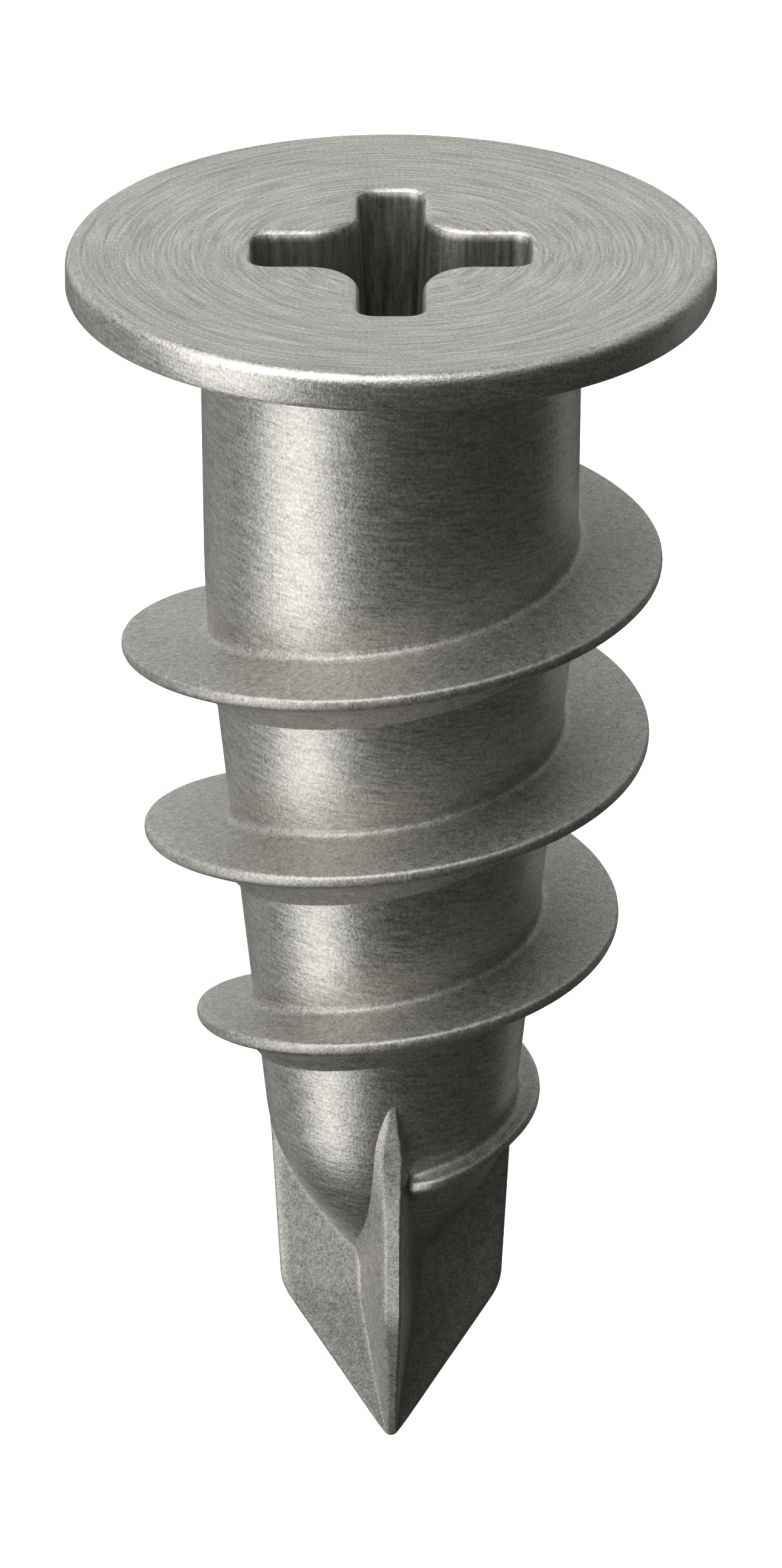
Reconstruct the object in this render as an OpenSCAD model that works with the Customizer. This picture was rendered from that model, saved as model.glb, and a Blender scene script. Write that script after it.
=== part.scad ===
// Self-drilling wall anchor, cast in one piece.
// The origin is the centre of the flange's outer face. +Z points out of the wall,
// so the barrel, the thread and the drill blades lie below Z = 0.
// The casting is drawn as its working regions, which meet face to face.

/* [Overall] */
// Length from the flange's outer face to the drill point
overall_length = 31.75; // [28:0.25:40]

/* [Flange] */
// Diameter of the flange
flange_d = 15.9; // [13:0.1:22]
// Thickness of the flange
flange_t = 0.95; // [0.7:0.05:2]
// Radius of the rounded outer rim
flange_edge_r = 0.3; // [0.1:0.05:0.35]
// Chamfer under the rim
flange_chamfer = 0.15; // [0.05:0.05:0.3]

/* [Drive recess] */
// Distance across the two wings along X, at the mouth
recess_span_x = 7.3; // [6.6:0.1:8]
// Distance across the two wings along Y, at the mouth
recess_span_y = 7.7; // [6.6:0.1:8]
// Width of each wing
recess_wing_w = 1.85; // [1.6:0.05:2.2]
// Radius of the four corners between the wings
recess_corner_r = 1.3; // [1.1:0.05:1.4]
// Depth of the recess below the flange's outer face
recess_depth = 6.5; // [4:0.25:8]
// How far each wing's end wall leans inwards from the mouth to the floor
recess_lean = 0.7; // [0.2:0.1:0.8]

/* [Barrel] */
// Diameter of the barrel under the flange
barrel_d = 9.36; // [8.6:0.1:12]
// Diameter of the barrel where its taper starts
barrel_low_d = 9.12; // [8.4:0.1:11.5]
// Depth below the outer face at which the taper starts
barrel_len = 9.3; // [8.25:0.1:12]
// Fillet between the barrel and the flange
barrel_fillet_r = 0.35; // [0.1:0.05:0.6]
// Diameter of the tapered core at its lower end
core_end_d = 5.86; // [5:0.1:7]

/* [Screw bore] */
// Diameter of the blind pilot bore
bore_d = 3.2; // [2.6:0.05:3.4]
// Metal left between the bore's straight wall and the core's lower end
bore_stop = 2.3; // [1.8:0.1:5]

/* [Thread] */
// Distance between turns of the right-hand thread
thread_pitch = 4.9; // [4:0.1:6.5]
// Height of the flight above the core
thread_h = 2.17; // [1.2:0.05:2.6]
// Thickness of the flight at its lip
thread_lip_t = 0.3; // [0.2:0.05:0.5]
// Slope of the flight's upper face, in degrees
thread_upper_slope = 5; // [0:1:12]
// Slope of the flight's lower face, in degrees
thread_lower_slope = 26; // [10:1:32]
// Depth below the outer face at which the flight starts
thread_start = 6.1; // [4:0.1:8]
// Part of a turn over which the flight rises to full height
thread_rise = 0.36; // [0.1:0.02:0.6]
// Turns over which the flight fades out towards the drill blades
thread_fade = 1.65; // [0.6:0.05:2]
// Height of the flight where it stops beside the front blade
thread_end_h = 0.15; // [0.05:0.05:0.5]

/* [Drill end] */
// Length of the closed cone below the core
nose_len = 4.05; // [3:0.05:5]
// Length of the blades below the core, down to their shoulders
blade_len = 3.75; // [2.5:0.05:6]
// Length of the point below the blades' shoulders
point_len = 4.2; // [3:0.05:6]
// How far the blades run up the core as ribs
rib_len = 2.4; // [1:0.1:3]
// Radius of the blades at their shoulders
blade_r = 2.7; // [2.2:0.05:3.2]
// Thickness of each blade at its outer edge
blade_edge_t = 0.4; // [0.3:0.05:0.7]
// How much each flank leans out per millimetre towards the axis
blade_draft = 0.24; // [0.1:0.02:0.3]
// Width of the blunted point
point_flat = 0.16; // [0.1:0.02:0.3]

/* [Hidden] */
$fn = 96;

over = 1;                     // how far a cut runs past the face that it opens
zinc = [0.66, 0.65, 0.62];    // as-cast zinc
zinc_dark = [0.52, 0.51, 0.48];

flange_r = flange_d / 2;
barrel_r = barrel_d / 2;
barrel_low_r = barrel_low_d / 2;
core_end_r = core_end_d / 2;
bore_r = bore_d / 2;

core_end_z = -(overall_length - blade_len - point_len);
shoulder_z = core_end_z - blade_len;
nose_tip_z = core_end_z - nose_len;
bore_end_z = core_end_z + bore_stop;

// Radius of the barrel and its tapered core at height z
function core_r(z) =
    z > -barrel_len
        ? barrel_r + (barrel_low_r - barrel_r) * (-z - flange_t) / (barrel_len - flange_t)
        : barrel_low_r + (core_end_r - barrel_low_r) * (-z - barrel_len) / (-core_end_z - barrel_len);

collar_z = -flange_t - barrel_fillet_r;
collar_r = core_r(collar_z);

// ---- Thread ----

thread_steps = 48;                            // sections in one turn
half_step = 180 / thread_steps;
thread_stop_rise = 0.15;                      // how far above the core's end the lip stops
rib_gap = 0.1;                                // space between the flight and a rib
fade_power = 1.75;                            // how late in the fade the flight loses its height
thread_stop_z = core_end_z + thread_stop_rise;
thread_turns = (-thread_start - thread_stop_z) / thread_pitch;
thread_sections = ceil(thread_turns * thread_steps);
thread_stop_angle = -90 + asin((blade_edge_t / 2 + 2 * rib_gap) / core_end_r);

function turn_at(i) = thread_turns * i / thread_sections;
function flight_angle(turn) = thread_stop_angle + 360 * (thread_turns - turn);
function flight_z(turn) = -thread_start - thread_pitch * turn;

// Height of the flight above the core: a straight rise, a full stretch, then a rounded fade
function flight_rise(turn) = min(1, 0.08 + 0.92 * turn / thread_rise);
function flight_fade(turn) = max(0, (turn - thread_turns + thread_fade) / thread_fade);
function flight_h(turn) =
    min(thread_h * flight_rise(turn),
        thread_end_h + (thread_h - thread_end_h) * (1 - pow(flight_fade(turn), fade_power)));

// One section of the flight in [radius, height], from its upper root round the lip and back.
// The inner points stand just far enough out for the flats between them to touch the core.
function root_point(z) = [core_r(z) / cos(half_step), z];
function flight_section(turn) =
    let (
        h = flight_h(turn),
        z = flight_z(turn),
        lip_r = core_r(z) + h,
        half_lip = thread_lip_t / 2,
        upper_z = z + half_lip + h * tan(thread_upper_slope),
        lower_z = z - half_lip - h * tan(thread_lower_slope),
        bend_z = max(lower_z + 0.1, min(upper_z - 0.1, -barrel_len))
    )
    [
        root_point(upper_z),
        [lip_r - half_lip * 0.6, z + half_lip],
        [lip_r, z + half_lip * 0.3],
        [lip_r, z - half_lip * 0.3],
        [lip_r - half_lip * 0.6, z - half_lip],
        root_point(lower_z),
        root_point(bend_z)
    ];

section_size = 7;

// Height of the flight's lower root on its last pass over the blade that points along an angle
function last_pass(angle) =
    thread_turns - ((angle - thread_stop_angle + 360) % 360) / 360;
function flight_underside(turn) =
    flight_z(turn) - thread_lip_t / 2 - flight_h(turn) * tan(thread_lower_slope);

function flight_points() =
    [for (i = [0:thread_sections])
        let (turn = turn_at(i), a = flight_angle(turn))
        for (p = flight_section(turn)) [p[0] * cos(a), p[0] * sin(a), p[1]]];

function flight_faces() =
    let (n = section_size, last = thread_sections * section_size)
    concat(
        [[for (k = [0:n - 1]) k]],
        [for (i = [0:thread_sections - 1]) for (k = [0:n - 1])
            let (a = i * n + k, b = i * n + (k + 1) % n)
            for (face = [[a, a + n, b + n], [a, b + n, b]]) face],
        [[for (k = [n - 1:-1:0]) last + k]]
    );

// ---- Drive recess ----

// One pair of opposite wings, with end walls that lean inwards
module wing_pair(span) {
    mouth = span / 2 + recess_lean * over / recess_depth;
    floor_half = span / 2 - recess_lean;
    rotate([90, 0, 0])
        linear_extrude(height = recess_wing_w, center = true)
            polygon([[-mouth, over], [-floor_half, -recess_depth],
                     [floor_half, -recess_depth], [mouth, over]]);
}

// The rounded corner between two neighbouring wings
module wing_corner() {
    translate([recess_wing_w / 2, recess_wing_w / 2, -recess_depth])
        linear_extrude(height = recess_depth + over)
            difference() {
                translate([-recess_wing_w / 4, -recess_wing_w / 4])
                    square(recess_corner_r + recess_wing_w / 4);
                translate([recess_corner_r, recess_corner_r]) circle(r = recess_corner_r);
            }
}

module drive_cross() {
    wing_pair(recess_span_x);
    rotate([0, 0, 90]) wing_pair(recess_span_y);
    for (turn = [0:90:270]) rotate([0, 0, turn]) wing_corner();
}

// ---- Regions of the casting ----

// Round flange with its rounded rim and the fillet under it, cut through by the drive recess.
// It ends in a collar at the foot of the fillet, so its wall seat is a plain ring.
module head_flange() color(zinc)
    difference() {
        rotate_extrude()
            difference() {
                polygon([[0, 0], [flange_r, 0], [flange_r, flange_chamfer - flange_t],
                         [flange_r - flange_chamfer, -flange_t],
                         [collar_r + barrel_fillet_r, -flange_t],
                         [collar_r + barrel_fillet_r, collar_z], [0, collar_z]]);
                translate([collar_r + barrel_fillet_r, collar_z]) circle(r = barrel_fillet_r);
                translate([flange_r - flange_edge_r, -flange_edge_r])
                    difference() {
                        square(flange_edge_r + over);
                        circle(r = flange_edge_r);
                    }
            }
        drive_cross();
    }

// Upper barrel around the drive recess
module drive_sleeve() color(zinc)
    difference() {
        rotate_extrude()
            polygon([[0, collar_z], [collar_r, collar_z],
                     [core_r(-recess_depth), -recess_depth], [0, -recess_depth]]);
        drive_cross();
    }

// Solid of revolution of the barrel, core and nose, from height z down
module core_envelope(z)
    rotate_extrude()
        polygon([[0, z], [core_r(z), z], [barrel_low_r, -barrel_len],
                 [core_end_r, core_end_z], [0, core_end_z - nose_len]]);

// Tapered core with the blind pilot bore, which ends in a drill cone
module screw_core() color(zinc)
    difference() {
        rotate_extrude()
            polygon([[0, -recess_depth], [core_r(-recess_depth), -recess_depth],
                     [barrel_low_r, -barrel_len], [core_end_r, core_end_z], [0, core_end_z]]);
        translate([0, 0, bore_end_z])
            cylinder(h = -recess_depth - bore_end_z + over, r = bore_r);
        translate([0, 0, bore_end_z - bore_r / 2])
            cylinder(h = bore_r / 2, r1 = 0, r2 = bore_r);
    }

// Deep single-start right-hand flight
module thread_flight() color(zinc_dark)
    polyhedron(points = flight_points(), faces = flight_faces(), convexity = 10);

// Closed cone between the blades
module nose_cone() color(zinc)
    rotate_extrude()
        polygon([[0, core_end_z], [core_end_r, core_end_z], [0, nose_tip_z]]);

// ---- Drill blades ----

rib_start_z = core_end_z + rib_len;
rib_step = 0.02;              // how far a full rib's upper end stands proud of the core

// Radius of a blade's outer edge at height z, above the shoulders
function blade_edge_r(z) =
    let (top = core_r(rib_start_z) + rib_step)
    top + (blade_r - top) * (rib_start_z - z) / (rib_start_z - shoulder_z);

// Distance from the axis at which two neighbouring blades of radius r and edge e meet
function mitre(r, e) = (e + blade_draft * r) / (1 + blade_draft);

// One blade, mitred at the axis, with drafted flanks and a slanted point. It is drawn along +X
// and turned to its angle. Its rib starts below the flight's last pass over it.
module blade(angle) {
    rib_top_z = min(rib_start_z, flight_underside(last_pass(angle)) - rib_gap);
    edge = blade_edge_t / 2;
    flat = point_flat / 2;
    top_r = blade_edge_r(rib_top_z);
    levels = [[rib_top_z, top_r, edge, mitre(top_r, edge)],
              [shoulder_z, blade_r, edge, mitre(blade_r, edge)],
              [-overall_length, point_flat, flat, flat]];
    points = [for (l = levels)
        for (p = [[0, 0], [l[3], -l[3]], [l[1], -l[2]], [l[1], l[2]], [l[3], l[3]]])
            [p[0], p[1], l[0]]];
    faces = concat(
        [[4, 3, 2, 1, 0]],
        [for (i = [0, 5]) for (k = [0:4]) let (n = (k + 1) % 5)
            for (face = [[i + k, i + n, i + n + 5], [i + k, i + n + 5, i + k + 5]]) face],
        [[10, 11, 12, 13, 14]]);
    rotate([0, 0, angle]) difference() {
        polyhedron(points = points, faces = faces, convexity = 4);
        core_envelope(-barrel_len + over);
    }
}

module blade_right() color(zinc_dark) blade(0);
module blade_front() color(zinc) blade(-90);
module blade_left() color(zinc_dark) blade(180);
module blade_back() color(zinc) blade(90);

head_flange();
drive_sleeve();
screw_core();
thread_flight();
nose_cone();
blade_right();
blade_front();
blade_left();
blade_back();
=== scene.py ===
"""Self-drilling wall anchor in die-cast zinc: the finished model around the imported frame."""
import logging
import math
from collections.abc import Callable, Iterator
from contextlib import contextmanager
from dataclasses import dataclass, field
from enum import Enum

import bmesh
import bpy
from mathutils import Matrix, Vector


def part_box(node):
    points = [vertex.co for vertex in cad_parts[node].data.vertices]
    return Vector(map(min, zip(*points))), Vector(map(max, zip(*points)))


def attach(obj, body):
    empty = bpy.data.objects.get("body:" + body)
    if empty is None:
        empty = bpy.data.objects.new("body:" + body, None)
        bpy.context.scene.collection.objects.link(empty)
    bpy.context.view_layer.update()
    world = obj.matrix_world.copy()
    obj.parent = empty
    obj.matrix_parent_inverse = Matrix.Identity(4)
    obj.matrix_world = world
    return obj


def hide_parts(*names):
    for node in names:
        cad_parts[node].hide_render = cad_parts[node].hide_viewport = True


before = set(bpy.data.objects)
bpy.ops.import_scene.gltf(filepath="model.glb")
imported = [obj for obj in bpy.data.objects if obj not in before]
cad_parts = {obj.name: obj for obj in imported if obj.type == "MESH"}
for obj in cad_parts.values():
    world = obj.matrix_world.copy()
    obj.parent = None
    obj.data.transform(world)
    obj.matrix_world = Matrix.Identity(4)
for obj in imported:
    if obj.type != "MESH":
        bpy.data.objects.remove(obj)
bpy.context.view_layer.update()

log = logging.getLogger("wall_anchor")

MM = 0.001            # metres in a millimetre
WELD = 1e-7           # metres within which two vertices are one
TURN = 2 * math.pi
ROUND = 256           # facets around a turned piece
CLOUD_CONTRAST = 0.3  # share of the uneven wear in a finish's tone
MARKS_GLOSS = 0.16    # range of roughness that the marks give
GRAIN_GLOSS = 0.14    # range of roughness that the grain gives
CLOUD_GLOSS = 0.10    # range of roughness that the uneven wear gives


# ---------------------------------------------------------------- sizes of the casting


def smooth_max(a: float, b: float, reach: float) -> float:
    """Blend the larger of two lengths, with a fillet where they are close.

    Args:
        a: First length.
        b: Second length.
        reach: Difference below which the fillet starts.

    Returns:
        The blended length, never under the larger one.
    """
    reach = max(reach, 1e-9)
    near = max(reach - abs(a - b), 0) / reach
    return max(a, b) + near * near * reach / 4


def smooth_min(a: float, b: float, reach: float) -> float:
    """Blend the smaller of two lengths, with a rounding where they are close."""
    return -smooth_max(-a, -b, reach)


def ease(x: float) -> float:
    """Turn 0 to 1 into a soft step from 0 to 1, and hold it outside that range."""
    x = min(max(x, 0.0), 1.0)
    return x * x * (3 - 2 * x)


@dataclass
class AnchorForm:
    """Shape that the pieces of the casting share, in millimetres, with Z = 0 at the flange's face.

    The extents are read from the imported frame. The rest are the casting's own sizes.
    """

    flange_radius: float
    collar_z: float
    recess_floor: float
    core_end: float
    point_z: float
    flange_thickness: float = 0.95
    barrel_radius: float = 4.68
    taper_top: float = -9.3
    taper_top_radius: float = 4.56
    core_end_radius: float = 2.93
    nose_slope: float = 0.72
    taper_soft: float = 1.6
    nose_soft: float = 1.3
    flare: float = 0.14
    flare_end: float = -3.2

    @classmethod
    def from_frame(cls) -> "AnchorForm":
        """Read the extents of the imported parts.

        Returns:
            The form that every piece is built to.
        """
        flange_low, flange_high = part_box("head_flange")
        return cls(
            flange_radius=flange_high[0] / MM,
            collar_z=flange_low[2] / MM,
            recess_floor=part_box("drive_sleeve")[0][2] / MM,
            core_end=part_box("screw_core")[0][2] / MM,
            point_z=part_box("blade_front")[0][2] / MM,
        )

    def core_radius(self, z: float) -> float:
        """Give the outer radius of the barrel, core and nose at a height.

        Args:
            z: Height.

        Returns:
            Radius, with soft bends where the taper and the nose start and a slight flare under the
            flange. It is below 0 past the apex.
        """
        draft = (self.barrel_radius - self.taper_top_radius) / (-self.flange_thickness - self.taper_top)
        taper = (self.taper_top_radius - self.core_end_radius) / (self.taper_top - self.core_end)
        radius = self.barrel_radius + draft * (z + self.flange_thickness)
        radius -= (taper - draft) * self._past(self.taper_top - z, self.taper_soft)
        radius += self.flare * (max(0.0, z - self.flare_end) / (self.collar_z - self.flare_end)) ** 2
        return radius - (self.nose_slope - taper) * self._past(self.core_end - z, self.nose_soft)

    @staticmethod
    def _past(distance: float, soft: float) -> float:
        """Give how far a height is past a bend, rising softly within a reach of it.

        Args:
            distance: Distance past the bend, negative before it.
            soft: Reach on both sides of the bend.

        Returns:
            The softened distance, 0 before the bend.
        """
        if distance <= -soft:
            return 0.0
        if distance >= soft:
            return distance
        return (distance + soft) ** 2 / (4 * soft)


# ---------------------------------------------------------------- bench tools


def deselect_all() -> None:
    """Leave edit mode and deselect every object."""
    if bpy.context.object and bpy.context.object.mode != "OBJECT":
        bpy.ops.object.mode_set(mode="OBJECT")
    bpy.ops.object.select_all(action="DESELECT")


@contextmanager
def editing(piece: bpy.types.Object) -> Iterator[None]:
    """Put one piece in edit mode, with nothing in it selected, and take it out again.

    Args:
        piece: The mesh object to edit.

    Yields:
        Nothing: the piece is in edit mode meanwhile.
    """
    deselect_all()
    piece.select_set(True)
    bpy.context.view_layer.objects.active = piece
    bpy.ops.object.mode_set(mode="EDIT")
    bpy.ops.mesh.select_mode(type="VERT")
    bpy.ops.mesh.select_all(action="DESELECT")
    yield
    bpy.ops.object.mode_set(mode="OBJECT")
    piece.select_set(False)


class Element(Enum):
    """Kinds of mesh element that can be picked."""

    VERTEX = "VERT"
    EDGE = "EDGE"
    FACE = "FACE"


def pick(piece: bpy.types.Object, kind: Element, wanted: Callable[[Vector, Vector], bool]) -> int:
    """Select, in edit mode, the elements of one kind that pass a test on their place and direction.

    Args:
        piece: The mesh object in edit mode.
        kind: Vertices, edges or faces.
        wanted: Test on an element's centre in millimetres and its normal, or an edge's direction.

    Returns:
        How many elements were selected.
    """
    bpy.ops.mesh.select_all(action="DESELECT")
    bpy.ops.mesh.select_mode(type=kind.value)
    mesh = bmesh.from_edit_mesh(piece.data)
    mesh.normal_update()
    found = 0
    if kind is Element.VERTEX:
        sets = [(v, v.co, v.normal) for v in mesh.verts]
    elif kind is Element.EDGE:
        sets = [(e, (e.verts[0].co + e.verts[1].co) / 2, e.verts[1].co - e.verts[0].co) for e in mesh.edges]
    else:
        sets = [(f, f.calc_center_median(), f.normal) for f in mesh.faces]
    for element, centre, direction in sets:
        if wanted(centre / MM, direction):
            element.select_set(True)
            found += 1
    mesh.select_flush_mode()
    bmesh.update_edit_mesh(piece.data)
    return found


def name_active(name: str) -> bpy.types.Object:
    """Name the object that was just added, and its mesh.

    Args:
        name: The new name.

    Returns:
        The object.
    """
    piece = bpy.context.object
    piece.name = name
    piece.data.name = name
    return piece


def apply_modifier(piece: bpy.types.Object, kind: str, **settings: object) -> None:
    """Add a modifier, set it and apply it.

    Args:
        piece: The object to modify.
        kind: The modifier's type.
        settings: Its settings by name.
    """
    deselect_all()
    piece.select_set(True)
    bpy.context.view_layer.objects.active = piece
    bpy.ops.object.modifier_add(type=kind)
    modifier = piece.modifiers[-1]
    for setting, value in settings.items():
        setattr(modifier, setting, value)
    bpy.ops.object.modifier_apply(modifier=modifier.name)
    piece.select_set(False)


def draw_profile(name: str, points: list[tuple[float, float]], closed: bool = False) -> bpy.types.Object:
    """Draw a chain of edges in the X-Z plane by extruding one vertex from point to point.

    Args:
        name: The new object's name.
        points: Radius and height of each point, in millimetres.
        closed: Whether the last point joins the first.

    Returns:
        The object that holds the chain.
    """
    deselect_all()
    bpy.ops.mesh.primitive_plane_add(size=MM)
    piece = name_active(name)
    with editing(piece):
        bpy.ops.mesh.select_all(action="SELECT")
        bpy.ops.mesh.merge(type="CENTER")
        start = Vector((points[0][0], 0, points[0][1])) * MM
        bpy.ops.transform.translate(value=start)
        for last, point in zip(points, points[1:]):
            step = Vector((point[0] - last[0], 0, point[1] - last[1])) * MM
            bpy.ops.mesh.extrude_vertices_move(TRANSFORM_OT_translate={"value": step})
        if closed:
            pick(piece, Element.VERTEX, lambda co, _: near(co, points[0]) or near(co, points[-1]))
            bpy.ops.mesh.edge_face_add()
    return piece


def near(place: Vector, point: tuple[float, float]) -> bool:
    """Tell whether a place in the X-Z plane is a profile's point, in millimetres."""
    return math.hypot(place.x - point[0], place.z - point[1]) < 1e-4


def weld_and_face_out(piece: bpy.types.Object) -> None:
    """Merge doubled vertices and turn every face outwards.

    Args:
        piece: The mesh to close.
    """
    with editing(piece):
        bpy.ops.mesh.select_all(action="SELECT")
        bpy.ops.mesh.remove_doubles(threshold=WELD)
        bpy.ops.mesh.dissolve_degenerate(threshold=WELD)
        bpy.ops.mesh.normals_make_consistent(inside=False)


def turn_on_lathe(name: str, points: list[tuple[float, float]]) -> bpy.types.Object:
    """Spin a profile about the anchor's axis into a closed solid.

    Args:
        name: The new object's name.
        points: Radius and height of each point of the profile, in millimetres.

    Returns:
        The turned piece.
    """
    piece = draw_profile(name, points)
    with editing(piece):
        bpy.ops.mesh.select_all(action="SELECT")
        bpy.ops.mesh.spin(steps=ROUND, angle=TURN, center=(0, 0, 0), axis=(0, 0, 1))
    weld_and_face_out(piece)
    return piece


def smooth(piece: bpy.types.Object, sharp_over: float = 40.0) -> None:
    """Shade a piece smooth, with creases over an angle, and keep large flat faces flat.

    Args:
        piece: The finished mesh.
        sharp_over: Angle in degrees over which an edge stays a crease.
    """
    deselect_all()
    piece.select_set(True)
    bpy.context.view_layer.objects.active = piece
    bpy.ops.object.shade_smooth_by_angle(angle=math.radians(sharp_over))
    apply_modifier(piece, "WEIGHTED_NORMAL", keep_sharp=True, weight=80)


def cut_away(piece: bpy.types.Object, cutter: bpy.types.Object) -> None:
    """Take the space of one solid out of another."""
    apply_modifier(piece, "BOOLEAN", operation="DIFFERENCE", object=cutter, solver="EXACT")


def curve_through(
    start: tuple[float, float], corner: tuple[float, float], end: tuple[float, float], steps: int
) -> list[tuple[float, float]]:
    """Round a corner between two straight runs.

    Args:
        start: Where the first run stops.
        corner: Where the two runs would meet.
        end: Where the second run starts.
        steps: Number of edges along the rounding.

    Returns:
        The points of the rounding, from start to end.
    """
    points = []
    for i in range(steps + 1):
        t = i / steps
        a, b, c = (1 - t) ** 2, 2 * t * (1 - t), t * t
        points.append((a * start[0] + b * corner[0] + c * end[0], a * start[1] + b * corner[1] + c * end[1]))
    return points


def sheet_of_vertices(name: str, rows: int, columns: int) -> bpy.types.Object:
    """Add a grid whose vertices are numbered row by row, ready to be shaped.

    Args:
        name: The new object's name.
        rows: Number of rows of vertices.
        columns: Number of vertices in a row.

    Returns:
        The grid.
    """
    deselect_all()
    bpy.ops.mesh.primitive_grid_add(x_subdivisions=columns - 1, y_subdivisions=rows - 1, size=1)
    return name_active(name)


# ---------------------------------------------------------------- finishes


def linear(hex_colour: str) -> tuple[float, float, float, float]:
    """Turn an sRGB hex colour to linear light.

    Args:
        hex_colour: Six hex digits after a #.

    Returns:
        Red, green, blue and an alpha of 1.
    """
    parts = [int(hex_colour[i:i + 2], 16) / 255 for i in (1, 3, 5)]
    light = [p / 12.92 if p <= 0.04045 else ((p + 0.055) / 1.055) ** 2.4 for p in parts]
    return (light[0], light[1], light[2], 1.0)


def add_node(
    tree: bpy.types.NodeTree, kind: str, settings: dict | None = None, links: dict | None = None
) -> bpy.types.Node:
    """Add a node with its settings and links.

    Args:
        tree: The node tree that it goes in.
        kind: The node's type.
        settings: Its properties by name, and its sockets' values by name or number.
        links: The output sockets that feed its inputs, by the input's name or number.

    Returns:
        The node.
    """
    node = tree.nodes.new(kind)
    for key, value in (settings or {}).items():
        if isinstance(key, str) and hasattr(node, key):
            setattr(node, key, value)
        else:
            node.inputs[key].default_value = value
    for key, output in (links or {}).items():
        tree.links.new(output, node.inputs[key])
    return node


class Lay(Enum):
    """Directions that a finish's marks can run in."""

    RINGS = "concentric rings, from facing on a lathe"
    ROUND_BARREL = "short slanted strokes round the barrel, from tumbling and brushing"
    UPRIGHT = "upright draw marks, from the core pin that leaves the die"
    GRAIN = "no direction, the plain grain of the die"


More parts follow.
